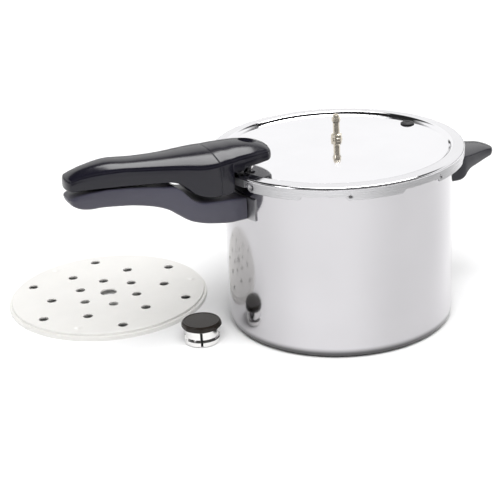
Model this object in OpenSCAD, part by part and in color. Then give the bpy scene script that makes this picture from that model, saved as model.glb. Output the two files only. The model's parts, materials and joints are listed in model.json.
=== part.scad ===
// Pressure canner: pot, bayonet lid, handles, cover lock, pressure regulator and rack.
// Millimetres. The pot stands on z = 0 with its axis on Z, the long handles run towards -X.

/* [Pot] */
// Outside diameter of the pot wall
pot_d = 220; // [180:1:280]
// Height of the pot rim above the table
pot_h = 166.5; // [120:0.5:240]
// Thickness of the pot wall
pot_wall = 3; // [2:0.1:5]
// Thickness of the pot base
pot_base = 4.5; // [3:0.1:8]
// Radius of the outside corner between wall and base
pot_corner = 15.5; // [6:0.5:20]
// How far the rim flange stands out from the wall
rim_out = 3.2; // [2:0.1:5]
// Thickness of the rim flange and of the pot lugs
rim_t = 2.9; // [2:0.1:4]

/* [Bayonet] */
// Number of lugs on the pot, and on the lid
lug_count = 8; // [6:1:8]
// Width of a pot lug in degrees
pot_lug_deg = 18; // [12:0.5:19]
// Width of a lid lug in degrees
lid_lug_deg = 23; // [16:0.5:23]
// Angle of the first lug from +X
lug_phase_deg = 33.75; // [20:0.25:40]
// Radial length of a pot lug
lug_out = 5; // [3.5:0.1:7]
// Radial gap between the lugs and what turns past them
lug_side_gap = 1; // [0.5:0.1:2]
// Height gap between a pot lug and the lid lug under it
lug_gap = 0.4; // [0.2:0.05:1]

/* [Lid] */
// Sheet thickness of the lid
lid_t = 2.4; // [1.8:0.1:3.5]
// Room between the pot rim and the underside of the lid's outer edge
lid_rise = 3.7; // [2.6:0.1:6.6]
// Radial width of the raised ring around the panel
ring_w = 12.6; // [10:0.1:18]
// How far the ring's inner crest stands above the lid's outer edge
crest_rise = 0.9; // [0.2:0.1:2]
// How far the panel lies below the ring's inner crest
panel_drop = 3.1; // [1.5:0.1:4]
// Height of a lid lug
lid_lug_t = 2.7; // [2:0.1:4]
// Free height between the pot rim and the sealing ring
seal_gap = 0.3; // [0.2:0.05:0.6]

/* [Handles] */
// Width of the long grips at their middle
grip_w = 38; // [30:0.5:46]
// Extra half width of the long handles where they meet the pot
flare = 12; // [6:0.5:14]
// Gap between a handle's end and the metal it faces
handle_gap = 0.4; // [0.2:0.1:1]
// Thickness of the steel arms
arm_t = 3; // [2:0.1:4]
// Width of the steel arms
arm_w = 22; // [16:0.5:28]
// Thickness of the plates on the pot wall and the lid skirt
plate_t = 1.5; // [1:0.1:2.5]
// Gap around an arm in its slot
slot_gap = 0.3; // [0.1:0.05:0.6]
// Diameter of the handle screws
screw_d = 5; // [4:0.1:6]
// Radial gap around a handle screw
screw_gap = 0.2; // [0.1:0.05:0.4]

/* [Cover lock] */
// Distance of the cover lock from the lid's outer edge
lock_in = 28.6; // [24:0.1:34]
// Diameter of the lock's stem
stem_d = 5.6; // [4:0.1:7]
// Radial gap between the stem and the lid
stem_gap = 0.3; // [0.2:0.05:0.6]
// Travel of the lock from down to up
lock_travel = 6; // [4:0.1:7]
// Diameter of the opening in the handle over the lock
lock_window_d = 13; // [11:0.1:15]

/* [Vent pipe] */
// Place of the vent pipe from the lid's centre, along X
vent_x = 13; // [-20:0.5:25]
// Place of the vent pipe from the lid's centre, along Y
vent_y = 23; // [-30:0.5:30]
// Height of the vent pipe above the panel
vent_h = 24.6; // [20:0.1:30]
// Outside diameter of the vent pipe
vent_d = 6.4; // [5:0.1:9]
// Bore of the vent pipe
vent_bore = 2.4; // [1.5:0.1:3.5]

/* [Overpressure plug] */
// Diameter of the plug's head
plug_d = 13.6; // [11:0.1:16]
// Direction of the plug from +X in degrees
plug_deg = 15.3; // [0:0.1:60]
// Gap between the plug's head and the edge of the panel
plug_edge_gap = 1; // [0.5:0.1:4]

/* [Regulator] */
// Width of the regulator's cap across opposite flats
cap_w = 38.6; // [32:0.1:46]
// Height of the cap's rim
cap_h = 6.4; // [5:0.1:9]
// Diameter of the weight at its foot
weight_d = 35; // [28:0.1:38]
// Height of the weight
weight_h = 16; // [12:0.1:22]
// Radial gap between the regulator's bore and the vent pipe's head
regulator_gap = 0.5; // [0.2:0.05:1]

/* [Rack] */
// Radial gap between the rack and the pot wall when it is in use
rack_gap = 5; // [2:0.1:10]
// Height of the rack
rack_h = 7; // [5:0.1:15]
// Sheet thickness of the rack
rack_t = 1.4; // [1:0.1:2.5]
// Diameter of the rack's small holes
rack_hole_d = 9.8; // [5:0.1:10]

/* [Hidden] */
$fn = 96;
eps = 0.01;

phenolic = [0.10, 0.10, 0.12];
aluminium = [0.80, 0.81, 0.83];
steel = [0.62, 0.63, 0.65];
rubber = [0.06, 0.06, 0.07];
chrome = [0.86, 0.86, 0.88];

// Pot
pot_r = pot_d / 2;
pot_ri = pot_r - pot_wall;
rim_r = pot_r + rim_out;
lug_r = rim_r + lug_out;
rim_z = pot_h - rim_t;

// Lid, worked out from the lugs that it closes over
skirt_ri = lug_r + lug_side_gap;
lid_r = skirt_ri + lid_t;
lid_z = pot_h + lid_rise + lid_t;
crest_z = lid_z + crest_rise;
crest_r = lid_r - ring_w;
panel_z = crest_z - panel_drop;
panel_r = crest_r - panel_drop;
panel_under = panel_z - lid_t;
edge_round = 2;
lug_pitch = 360 / lug_count;
lid_lug_top = rim_z - lug_gap;
lid_lug_bottom = lid_lug_top - lid_lug_t;
lid_lug_ri = rim_r + lug_side_gap;
shallow_z = rim_z + lug_gap;

// Sealing ring, between the pot rim and the roof of the lid's ring
seal_bottom = pot_h + seal_gap;
seal_top = crest_z - lid_t - panel_drop / 2;
seal_ri = pot_ri - 0.5;
seal_ro = skirt_ri - 0.3;

// Handle screws and arms, measured outwards from the pot wall
grip_half = grip_w / 2;
flare_half = grip_half + flare;
screw_r = screw_d / 2;
screw_hole_r = screw_r + screw_gap;
head_r = screw_d * 0.9;
head_h = 3;
arm_len = 36;
arm_screw_out = 26;
bracket_deg = 19.5;
arm_cover = 3;
head_gap = 0.4;
tip_gap = 0.5;
lower_bite = 6;
upper_bite = 10;

// Height of the upper handle's underside above the lid's edge: over the ring, over the panel
handle_clear = 2.4;
nose_clear = 5.4;

// Heights of the arms: on the pot below the rim, on the lid below the ring
pot_arm_z = pot_h - 29;
lid_arm_z = lid_z - 7.5;
pot_plate_z = [pot_h - 38, pot_h - 17];
lid_plate_z = [shallow_z + 0.6, lid_z - edge_round + 0.4];

// Cover lock
lock_x = -(lid_r - lock_in);
stem_r = stem_d / 2;
button_r = 5;
lock_up_gap = 0.5;
gasket_t = 2.2;
gasket_top = panel_under - lock_up_gap - lock_travel;
button_top = gasket_top - gasket_t;
button_t = 1.5;
lock_top = panel_z + 14;
cap_r = lock_window_d / 2 - 1.6;

// Lock bracket inside the pot, at the height of the button when the lock is up
bracket_t = 1.6;
lock_plate_z = button_top + lock_travel - button_t + 0.2;
lock_leg_h = 22;
rivet_y = 5;
rivet_r = 1.5;

// Vent pipe
vent_r = vent_d / 2;
vent_head_r = vent_r + 1;
hex_w = 11;
thread_r = 4;

// Plug
plug_r = plug_d / 2;
plug_at = panel_r - plug_r - plug_edge_gap;
plug_x = plug_at * cos(plug_deg);
plug_y = plug_at * sin(plug_deg);
plug_neck_r = plug_r - 2;

// Regulator and rack, standing on the table beside the pot
regulator_x = -(pot_r + 38);
regulator_y = 5.7;
bore_r = vent_head_r + regulator_gap;
rack_r = pot_ri - rack_gap;
rack_x = -(pot_r + 82);
rack_y = pot_r + 39.3;
rack_centre_d = 17;
foot_r = 3.2;
regulator_slot_deg = 246;

// Rings of small holes and of embossed feet in the rack: [share of its radius, first angle]
hole_rings = [[0.304, 20], [0.578, 50], [0.824, 20]];
foot_ring = [0.863, 110];

// Stop dimples in the skirt
dimple_r = 2.2;
dimple_in = 0.7;
dimple_deg = 1.6;

// Side outlines of the handles: [distance out from the pot wall, height]. Heights are counted
// from the pot rim, or from the lid's edge for the upper handle.
lower_side = [
  [-10, -17.2], [10, -16.1], [30, -13.7], [40, -13], [45, -11.6], [50, -8.4], [60, 2.9],
  [70, 4.8], [90, 7.9], [110, 10.6], [125, 12.2], [140, 10.9], [155, 9.3], [160, 6.4],
  [160.5, 2.5], [155, 0.3], [148, -3.4], [140, -4.1], [130, -3.5], [110, -5.5], [90, -9.3],
  [80, -12.3], [70, -16.6], [60, -24.2], [54, -28.6], [40, -32.1], [30, -34.4], [20, -37],
  [10, -38.3], [-10, -38.3]
];
helper_side = [
  [-10, -20.3], [15, -21], [40, -22.8], [55, -23.9], [62, -26], [63.5, -29], [62, -32.4],
  [55, -33], [40, -35], [25, -36], [19, -40], [14, -43.6], [-10, -44.5]
];
upper_side = [
  [-44.5, 13.5], [-40, 15.8], [-32, 17.6], [-20, 18.6], [-5, 18.7], [10, 17.8], [30, 16.4],
  [40, 16.6], [70, 19.6], [90, 21.7], [110, 24.2], [125, 24.8], [140, 24.2], [150, 23],
  [157, 21.6], [160.5, 17], [160.5, 10], [157, 8.4], [130, 8.1], [110, 6.6], [90, 5.1],
  [70, 3.6], [65, 2.6], [60, 0.7], [50, -8.9], [46, -12.2], [40, -14], [30, -15.7], [-45, -15.9]
];

// Plan outlines of the handles: [distance out from the pot wall, half width]
long_plan = [
  [-15, flare_half - 4], [-5, flare_half - 3], [10, flare_half - 1.5], [25, flare_half],
  [40, flare_half], [50, flare_half - 2.5], [60, grip_half + 5], [70, grip_half + 2.5],
  [85, grip_half + 0.8], [105, grip_half], [125, grip_half - 1.3], [140, grip_half - 4.2],
  [150, grip_half - 6.4], [156, grip_half - 8.4], [159, grip_half - 10.4], [161, grip_half - 14]
];
upper_plan = concat([
  [-45, grip_half - 19], [-44, grip_half - 12], [-41, grip_half - 6.5], [-36, grip_half - 2.5],
  [-30, grip_half - 0.6], [-15, grip_half + 5]
], [for (p = long_plan) if (p[0] > -10) p]);
helper_plan = [
  [-15, grip_half + 11], [16, grip_half + 11], [30, grip_half + 5.4], [45, grip_half - 0.6],
  [55, grip_half - 4.4], [60, grip_half - 7], [62.5, grip_half - 10.5], [63.7, grip_half - 16]
];

// ---- shared shapes ----

// An outline of [distance out from the pot wall, height] points, given a width across Y
module side_slab(points, base_z, half) {
  rotate([90, 0, 0])
    linear_extrude(height = 2 * half, center = true)
      polygon([for (p = points) [-(pot_r + p[0]), base_z + p[1]]]);
}

// A plan outline of [distance out from the pot wall, half width] points, on both sides of X
module plan_slab(points, z0, z1) {
  n = len(points);
  translate([0, 0, z0])
    linear_extrude(height = z1 - z0)
      polygon(concat(
        [for (p = points) [-(pot_r + p[0]), p[1]]],
        [for (i = [n - 1:-1:0]) [-(pot_r + points[i][0]), -points[i][1]]]
      ));
}

module tube(r_out, r_in, z0, z1) {
  rotate_extrude()
    translate([r_in, z0]) square([r_out - r_in, z1 - z0]);
}

// A ring segment centred on a direction
module arc_plate(r_in, r_out, z0, z1, centre_deg, width_deg) {
  rotate([0, 0, centre_deg - width_deg / 2])
    rotate_extrude(angle = width_deg)
      translate([r_in, z0]) square([r_out - r_in, z1 - z0]);
}

// A screw standing on its head below an arm, its shank through the arm and a bite above it
module handle_screw(arm_z, bite) {
  z_head = arm_z - arm_cover - head_h;
  translate([-(pot_r + arm_screw_out), 0, z_head]) {
    cylinder(r = head_r, h = head_h);
    cylinder(r = screw_r, h = arm_z + arm_t + bite - z_head);
  }
}

// The room that the screw needs, open downwards
module screw_room(arm_z, bite, z_open) {
  translate([-(pot_r + arm_screw_out), 0, z_open]) {
    cylinder(r = head_r + head_gap, h = arm_z - arm_cover - z_open);
    cylinder(r = screw_hole_r, h = arm_z + arm_t + bite + tip_gap - z_open);
  }
}

// A steel arm that runs out from a plate, with its screw hole
module arm(r_start, z0, out_end) {
  difference() {
    translate([-(pot_r + out_end), -arm_w / 2, z0])
      cube([pot_r + out_end - r_start, arm_w, arm_t]);
    translate([-(pot_r + arm_screw_out), 0, z0 - 1]) cylinder(r = screw_hole_r, h = arm_t + 2);
  }
}

module arm_room(z0, out_end) {
  translate([-(pot_r + out_end + slot_gap), -arm_w / 2 - slot_gap, z0 - slot_gap])
    cube([out_end + slot_gap + pot_r, arm_w + 2 * slot_gap, arm_t + 2 * slot_gap]);
}

// ---- pot ----

module pot_profile() {
  difference() {
    union() {
      translate([0, pot_corner]) square([pot_r, pot_h - pot_corner]);
      square([pot_r - pot_corner, pot_corner + eps]);
      translate([pot_r - pot_corner, pot_corner]) circle(r = pot_corner);
      translate([0, rim_z]) square([rim_r, rim_t]);
    }
    translate([-1, pot_base + pot_corner]) square([pot_ri + 1, pot_h]);
    translate([-1, pot_base]) square([pot_ri - pot_corner + 1, pot_corner + 1]);
    translate([pot_ri - pot_corner, pot_base + pot_corner]) circle(r = pot_corner);
    translate([-2 * pot_r, -1]) square([2 * pot_r, pot_h + 2]);
  }
}

module pot_body() {
  color(aluminium) union() {
    rotate_extrude() pot_profile();
    for (k = [0:lug_count - 1])
      arc_plate(rim_r - 1, lug_r, rim_z, pot_h, lug_phase_deg + k * lug_pitch, pot_lug_deg);
  }
}

// Plate welded on the wall and its arm, towards -X
module wall_bracket() {
  union() {
    arc_plate(pot_r, pot_r + plate_t, pot_plate_z[0], pot_plate_z[1], 180, 2 * bracket_deg);
    intersection() {
      arm(pot_r + plate_t / 2, pot_arm_z, arm_len);
      difference() {
        translate([-3 * pot_r, -pot_r, 0]) cube([3 * pot_r, pot_d, pot_h]);
        cylinder(r = pot_r + plate_t / 2, h = pot_h);
      }
    }
  }
}

module pot_handle_bracket() {
  color(steel) wall_bracket();
}

module lower_handle() {
  color(phenolic) difference() {
    intersection() {
      side_slab(lower_side, pot_h, pot_r);
      plan_slab(long_plan, 0, 2 * pot_h);
    }
    cylinder(r = pot_r + plate_t + handle_gap, h = 2 * pot_h);
    arm_room(pot_arm_z, arm_len);
    screw_room(pot_arm_z, lower_bite, 0);
  }
}

module lower_handle_screw() {
  color(steel) handle_screw(pot_arm_z, lower_bite);
}

module helper_bracket() {
  color(steel) rotate([0, 0, 180]) wall_bracket();
}

module helper_handle() {
  color(phenolic) rotate([0, 0, 180]) difference() {
    intersection() {
      side_slab(helper_side, pot_h, pot_r);
      plan_slab(helper_plan, 0, 2 * pot_h);
    }
    cylinder(r = pot_r + plate_t + handle_gap, h = 2 * pot_h);
    arm_room(pot_arm_z, arm_len);
    screw_room(pot_arm_z, lower_bite, 0);
  }
}

module helper_handle_screw() {
  color(steel) rotate([0, 0, 180]) lower_handle_screw();
}

// Angle inside the rim: an upright leg on the wall and a flat tongue with a keyhole.
// The lock's stem leaves along the slot as the lid turns; the raised button can't.
module lock_bracket() {
  lock_r = -lock_x;
  tongue_w = 2 * button_r + 8;
  color(steel) difference() {
    union() {
      intersection() {
        arc_plate(pot_ri - bracket_t, pot_ri, lock_plate_z - lock_leg_h, lock_plate_z + bracket_t,
                  180, 30);
        translate([-pot_d, -tongue_w / 2, 0]) cube([pot_d, tongue_w, 2 * pot_h]);
      }
      intersection() {
        translate([0, 0, lock_plate_z]) cylinder(r = pot_ri - bracket_t / 2, h = bracket_t);
        translate([-pot_d, -tongue_w / 2, 0])
          cube([pot_d - lock_r + button_r + 4, tongue_w, 2 * pot_h]);
      }
    }
    translate([lock_x, 0, lock_plate_z - 1]) cylinder(r = button_r + 1, h = bracket_t + 2);
    rotate([0, 0, 180])
      arc_plate(lock_r - stem_r - 1, lock_r + stem_r + 1, lock_plate_z - 1,
                lock_plate_z + bracket_t + 1, 10, 20);
    for (y = [-rivet_y, rivet_y])
      translate([-pot_ri, y, lock_plate_z - lock_leg_h / 2]) rotate([0, 90, 0])
        cylinder(r = rivet_r, h = 8, center = true);
  }
}

// Two rivets through the leg, their heads on its inner side
module lock_bracket_rivets() {
  z = lock_plate_z - lock_leg_h / 2;
  color(aluminium) for (y = [-rivet_y, rivet_y])
    translate([-pot_ri, y, z]) rotate([0, 90, 0]) {
      translate([0, 0, 0.3]) cylinder(r = rivet_r - 0.1, h = bracket_t + 0.3);
      translate([0, 0, bracket_t + 0.3]) cylinder(r = rivet_r * 2, h = 1);
    }
}

// ---- lid ----

// Half section of the lid: skirt with the lugs turned in at its foot, rounded upper edge,
// raised ring, shoulder and panel
module lid_profile() {
  edge_r = lid_r - edge_round;
  edge_z = lid_z - edge_round;
  polygon(concat(
    [[0, panel_z], [panel_r, panel_z], [crest_r, crest_z]],
    [for (a = [90:-15:0]) [edge_r + edge_round * cos(a), edge_z + edge_round * sin(a)]],
    [
      [lid_r, lid_lug_bottom], [lid_lug_ri, lid_lug_bottom], [lid_lug_ri, lid_lug_top],
      [skirt_ri, lid_lug_top], [skirt_ri, lid_z - lid_t], [crest_r, crest_z - lid_t],
      [panel_r, panel_under], [0, panel_under]
    ]
  ));
}

module lid_shell() {
  color(chrome) difference() {
    rotate_extrude() lid_profile();
    // the skirt is cut back between the lugs
    for (k = [0:lug_count - 1])
      arc_plate(lid_lug_ri - 1, lid_r + 1, lid_lug_bottom - 1, shallow_z,
                lug_phase_deg + (k + 0.5) * lug_pitch, lug_pitch - lid_lug_deg);
    // stop dimples at one end of each deep section
    for (k = [0:lug_count - 1])
      rotate([0, 0, lug_phase_deg + k * lug_pitch - lid_lug_deg / 2 + dimple_deg])
        translate([lid_r - dimple_in, 0, lid_lug_bottom + dimple_r + 0.4]) rotate([0, 90, 0])
          cylinder(r = dimple_r, h = 2 * dimple_in);
    translate([vent_x, vent_y, panel_under - 1]) cylinder(r = thread_r, h = lid_t + 2);
    translate([plug_x, plug_y, panel_under - 1]) cylinder(r = plug_neck_r, h = lid_t + 2);
    translate([lock_x, 0, panel_under - 1]) cylinder(r = stem_r + stem_gap, h = lid_t + 2);
  }
}

module sealing_ring() {
  lip = 1.2;
  color(rubber) rotate_extrude() polygon([
    [seal_ri, seal_bottom], [seal_ro, seal_bottom], [seal_ro, seal_top],
    [crest_r - 1, seal_top], [seal_ri + lip, seal_bottom + lip], [seal_ri, seal_bottom + lip]
  ]);
}

module lid_handle_bracket() {
  color(steel) union() {
    arc_plate(lid_r, lid_r + plate_t, lid_plate_z[0], lid_plate_z[1], 180, 2 * bracket_deg);
    difference() {
      arm(lid_r, lid_arm_z, arm_len + 4);
      translate([0, 0, lid_arm_z - 1]) cylinder(r = lid_r + plate_t / 2, h = arm_t + 2);
    }
  }
}

module upper_handle() {
  color(phenolic) difference() {
    intersection() {
      side_slab(upper_side, lid_z, pot_r);
      plan_slab(upper_plan, 0, 2 * pot_h);
    }
    // the block hangs outside the skirt and its plate, the nose lies over ring and panel
    cylinder(r = lid_r + plate_t + handle_gap, h = lid_z + handle_clear);
    cylinder(r = crest_r + 2, h = lid_z + nose_clear);
    arm_room(lid_arm_z, arm_len + 4);
    screw_room(lid_arm_z, upper_bite, 0);
    translate([lock_x, 0, 0]) cylinder(r = lock_window_d / 2, h = 2 * pot_h);
  }
}

module upper_handle_screw() {
  color(steel) handle_screw(lid_arm_z, upper_bite);
}

module vent_pipe() {
  collar_h = 3.4;
  color(chrome) translate([vent_x, vent_y, 0]) difference() {
    union() {
      translate([0, 0, panel_z]) cylinder(r = hex_w / 2, h = 1.6);
      translate([0, 0, panel_z + 1.6]) cylinder(r = hex_w / 2, h = collar_h, $fn = 6);
      translate([0, 0, panel_z]) cylinder(r = vent_r, h = vent_h - 1);
      translate([0, 0, panel_z + vent_h - 6.5])
        cylinder(r1 = vent_r, r2 = vent_head_r, h = 2);
      translate([0, 0, panel_z + vent_h - 4.5]) cylinder(r = vent_head_r, h = 3.5);
      translate([0, 0, panel_z + vent_h - 1]) cylinder(r1 = vent_head_r, r2 = vent_r - 0.6, h = 1);
      translate([0, 0, panel_under - 7]) cylinder(r = thread_r - 0.1, h = lid_t + 7);
    }
    translate([0, 0, panel_under - 8]) cylinder(r = vent_bore / 2, h = vent_h + lid_t + 10);
  }
}

module vent_pipe_nut() {
  color(steel) translate([vent_x, vent_y, panel_under - 4.2]) difference() {
    cylinder(r = 7.2, h = 4, $fn = 6);
    translate([0, 0, -1]) cylinder(r = thread_r, h = 6);
  }
}

// Rubber plug: low domed head, neck through the panel, retaining collar below
module overpressure_plug() {
  head = 2.4;
  color(rubber) translate([plug_x, plug_y, 0]) rotate_extrude() polygon([
    [0, panel_z + head], [plug_r - 2.4, panel_z + head], [plug_r - 0.8, panel_z + head - 0.7],
    [plug_r, panel_z + head - 1.6], [plug_r, panel_z + 0.1], [plug_neck_r - 0.1, panel_z + 0.1],
    [plug_neck_r - 0.1, panel_under - 0.1], [plug_neck_r + 1.2, panel_under - 0.1],
    [plug_neck_r + 0.6, panel_under - 2.6], [plug_neck_r - 1.4, panel_under - 4],
    [0, panel_under - 4]
  ]);
}

// Stem with a button at its foot; the gasket lies on the button, the cap on the stem's top
module cover_lock_pin() {
  color(chrome) translate([lock_x, 0, 0]) {
    translate([0, 0, button_top - button_t]) cylinder(r = button_r, h = button_t);
    translate([0, 0, button_top - eps]) cylinder(r = stem_r, h = lock_top - 3 - button_top);
  }
}

module cover_lock_gasket() {
  color(rubber) translate([lock_x, 0, 0])
    tube(button_r, stem_r, button_top, gasket_top);
}

module cover_lock_cap() {
  color(chrome) translate([lock_x, 0, 0]) difference() {
    union() {
      translate([0, 0, panel_z + 0.4]) cylinder(r = cap_r, h = 1.6);
      translate([0, 0, panel_z + 1]) cylinder(r = cap_r - 0.8, h = lock_top - panel_z - 1);
    }
    translate([0, 0, panel_z]) cylinder(r = stem_r, h = lock_top - 3 - panel_z);
  }
}

// ---- regulator and rack ----

// Eight-sided cap with a slightly smaller round top
module regulator_cap() {
  color(phenolic) translate([regulator_x, regulator_y, weight_h]) union() {
    intersection() {
      rotate([0, 0, 22.5]) cylinder(r = cap_w / 2 / cos(22.5), h = cap_h, $fn = 8);
      cylinder(r = cap_w / 2 + 1, h = cap_h - 1);
    }
    translate([0, 0, cap_h - 1 - eps]) cylinder(r1 = cap_w / 2, r2 = cap_w / 2 - 1.2, h = 1 + eps);
  }
}

module regulator_weight() {
  foot = weight_d / 2;
  neck = foot - 2;
  slot_w = 2;
  color(chrome) translate([regulator_x, regulator_y, 0]) difference() {
    rotate_extrude() polygon([
      [0, 0], [foot - 1, 0], [foot, 1], [foot, 5], [foot - 1.2, 6.4], [neck, weight_h - 4],
      [neck - 0.6, weight_h], [0, weight_h]
    ]);
    translate([0, 0, -1]) cylinder(r = bore_r, h = weight_h - 3);
    rotate([0, 0, regulator_slot_deg])
      translate([neck - 1.4, -slot_w / 2, -1]) cube([10, slot_w, weight_h - 1]);
  }
}

module rack_profile() {
  step = 2.6;
  polygon([
    [0, rack_h - rack_t], [rack_r - step - rack_t, rack_h - rack_t],
    [rack_r - step - rack_t, rack_h / 2 - rack_t / 2], [rack_r - rack_t, rack_h / 2 - rack_t / 2],
    [rack_r - rack_t, 0], [rack_r, 0], [rack_r, rack_h / 2 + rack_t / 2],
    [rack_r - step, rack_h / 2 + rack_t / 2], [rack_r - step, rack_h], [0, rack_h]
  ]);
}

module cooking_rack() {
  color([0.86, 0.86, 0.85]) translate([rack_x, rack_y, 0]) difference() {
    rotate_extrude() rack_profile();
    translate([0, 0, -1]) cylinder(d = rack_centre_d, h = rack_h + 2);
    for (ring = hole_rings)
      for (k = [0:5])
        rotate([0, 0, ring[1] + 60 * k])
          translate([ring[0] * rack_r, 0, -1]) cylinder(d = rack_hole_d, h = rack_h + 2);
    for (k = [0:2])
      rotate([0, 0, foot_ring[1] + 120 * k])
        translate([foot_ring[0] * rack_r, 0, rack_h + foot_r * 0.7]) sphere(r = foot_r);
  }
}

pot_body();
pot_handle_bracket();
lower_handle();
lower_handle_screw();
helper_bracket();
helper_handle();
helper_handle_screw();
lock_bracket();
lock_bracket_rivets();
lid_shell();
lid_handle_bracket();
upper_handle();
upper_handle_screw();
vent_pipe();
vent_pipe_nut();
overpressure_plug();
sealing_ring();
cover_lock_pin();
cover_lock_cap();
cover_lock_gasket();
regulator_cap();
regulator_weight();
cooking_rack();
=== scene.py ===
"""Looks of a pressure canner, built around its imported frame.

Each operator makes one piece or one group of like pieces. Lengths in the outlines are in
millimetres in the frame's own axes: the pot stands on z = 0 with its axis on Z, the long
handles run towards -X and the helper handle towards +X.
"""
import json
import math

import bmesh
import bpy
import numpy as np
from mathutils import Matrix, Vector

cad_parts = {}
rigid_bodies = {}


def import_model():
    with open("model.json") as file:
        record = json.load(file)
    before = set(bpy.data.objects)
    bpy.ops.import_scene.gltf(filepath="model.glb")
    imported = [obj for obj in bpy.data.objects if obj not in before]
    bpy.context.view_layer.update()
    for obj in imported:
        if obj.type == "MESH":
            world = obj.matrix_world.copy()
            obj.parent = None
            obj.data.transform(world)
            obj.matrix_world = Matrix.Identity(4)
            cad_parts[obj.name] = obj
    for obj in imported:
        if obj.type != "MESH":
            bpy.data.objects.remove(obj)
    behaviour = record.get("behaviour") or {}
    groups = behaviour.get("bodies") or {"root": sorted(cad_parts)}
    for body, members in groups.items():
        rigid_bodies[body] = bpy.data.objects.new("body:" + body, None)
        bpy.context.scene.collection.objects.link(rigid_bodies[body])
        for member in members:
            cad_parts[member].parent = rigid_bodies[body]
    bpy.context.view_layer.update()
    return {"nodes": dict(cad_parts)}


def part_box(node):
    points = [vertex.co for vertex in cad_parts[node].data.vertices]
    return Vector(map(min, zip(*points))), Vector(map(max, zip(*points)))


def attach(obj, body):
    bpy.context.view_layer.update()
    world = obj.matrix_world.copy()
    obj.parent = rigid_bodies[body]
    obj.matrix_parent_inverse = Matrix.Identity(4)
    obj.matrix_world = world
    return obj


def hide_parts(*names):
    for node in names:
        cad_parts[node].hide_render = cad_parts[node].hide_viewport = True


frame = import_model()

bl_info = {
    "name": "Pressure Canner",
    "version": (1, 0, 0),
    "blender": (4, 5, 0),
    "location": "View3D > Sidebar > Canner",
    "description": "Builds the visible surfaces and finishes of a pressure canner",
    "category": "Add Mesh",
}

MM = 0.001


def span_mm(node):
    """Lowest and highest corner of a frame node, in millimetres."""
    low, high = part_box(node)
    return np.array(low) / MM, np.array(high) / MM


POT_LOW, POT_HIGH = span_mm("pot_body")
LID_LOW, LID_HIGH = span_mm("lid_shell")
SEAL_LOW, SEAL_HIGH = span_mm("sealing_ring")
WEIGHT_LOW, WEIGHT_HIGH = span_mm("regulator_weight")
CAP_LOW, CAP_HIGH = span_mm("regulator_cap")
RACK_LOW, RACK_HIGH = span_mm("cooking_rack")
PLUG_LOW, PLUG_HIGH = span_mm("overpressure_plug")
VENT_LOW, VENT_HIGH = span_mm("vent_pipe")
LOCK_LOW, LOCK_HIGH = span_mm("cover_lock_cap")


# ---------------------------------------------------------------- user settings

def length(name, description, default):
    """A length property whose default is given in millimetres."""
    return bpy.props.FloatProperty(name=name, description=description, default=default * MM,
                                   min=0.0, unit="LENGTH", precision=4)


def colour(name, description, default):
    """A colour property, linear RGB."""
    return bpy.props.FloatVectorProperty(name=name, description=description, default=default,
                                         subtype="COLOR", size=3, min=0.0, max=1.0)


def share(name, description, default, top=1.0):
    """A plain number between 0 and a top value."""
    return bpy.props.FloatProperty(name=name, description=description, default=default,
                                   min=0.0, max=top)


class CannerPotSettings(bpy.types.PropertyGroup):
    """Sizes of the pot's edges and the colour of its metal."""

    wall: length("Wall", "Thickness of the pot wall", 3.0)
    base: length("Base", "Thickness of the pot base", 4.5)
    corner: length("Corner", "Radius of the outside corner at the base", 15.5)
    rim_out: length("Rim", "How far the rim stands out from the wall", 3.2)
    lug_out: length("Lug", "Radial length of a rim lug", 5.0)
    metal: colour("Metal", "Colour of the polished wall", (0.590, 0.580, 0.598))


class CannerLidSettings(bpy.types.PropertyGroup):
    """Sizes of the lid's section and the colour of its metal."""

    sheet: length("Sheet", "Sheet thickness of the lid", 2.4)
    ring: length("Ring", "Radial width of the raised ring", 12.6)
    drop: length("Drop", "Depth of the panel below the ring", 3.1)
    lug: length("Lug", "Height of a turned-in lug", 2.7)
    step: length("Step", "How much higher the skirt ends between the lugs", 3.5)
    metal: colour("Metal", "Colour of the polished lid", (0.885, 0.88, 0.90))


class CannerHandleSettings(bpy.types.PropertyGroup):
    """Rounding and colour of the moulded handles."""

    crown: length("Crown", "Height of the domed top above its edges", 7.1)
    edge: length("Edge", "Radius along the upper edges", 0.8)
    brow: length("Brow", "Radius along the upper handle's top edges", 2.2)
    foot: length("Foot", "Radius along the lower edges", 1.6)
    seam: length("Seam", "Depth of the parting line", 0.35)
    phenolic: colour("Phenolic", "Colour of the moulding", (0.007, 0.0065, 0.012))


class CannerLooseSettings(bpy.types.PropertyGroup):
    """Sizes and colours of the regulator and the rack."""

    sheet: length("Rack sheet", "Sheet thickness of the rack", 1.4)
    hole: length("Rack hole", "Diameter of the rack's small holes", 9.8)
    cap: colour("Cap", "Colour of the regulator's cap", (0.022, 0.016, 0.012))
    rack: colour("Rack", "Colour of the rack", (0.80, 0.79, 0.765))


class CannerStageSettings(bpy.types.PropertyGroup):
    """Camera, floor and light."""

    lens: bpy.props.FloatProperty(name="Lens", description="Focal length", default=100.4,
                                  min=1.0, unit="CAMERA")
    heading: bpy.props.FloatProperty(name="Heading", description="Direction of view from +Y",
                                     default=math.radians(24.0), subtype="ANGLE")
    tilt: bpy.props.FloatProperty(name="Tilt", description="Downward tilt of the view",
                                  default=math.radians(22.32), subtype="ANGLE")
    roll: bpy.props.FloatProperty(name="Roll", description="Turn about the line of sight",
                                  default=math.radians(-3.07), subtype="ANGLE")
    floor: colour("Floor", "Colour of the floor", (0.93, 0.93, 0.93))
    sky: share("Sky", "Strength of the surrounding light", 1.05, 10.0)


SETTINGS = {
    "canner_pot": CannerPotSettings,
    "canner_lid": CannerLidSettings,
    "canner_handles": CannerHandleSettings,
    "canner_loose": CannerLooseSettings,
    "canner_stage": CannerStageSettings,
}


# ---------------------------------------------------------------- curves and grids

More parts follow.
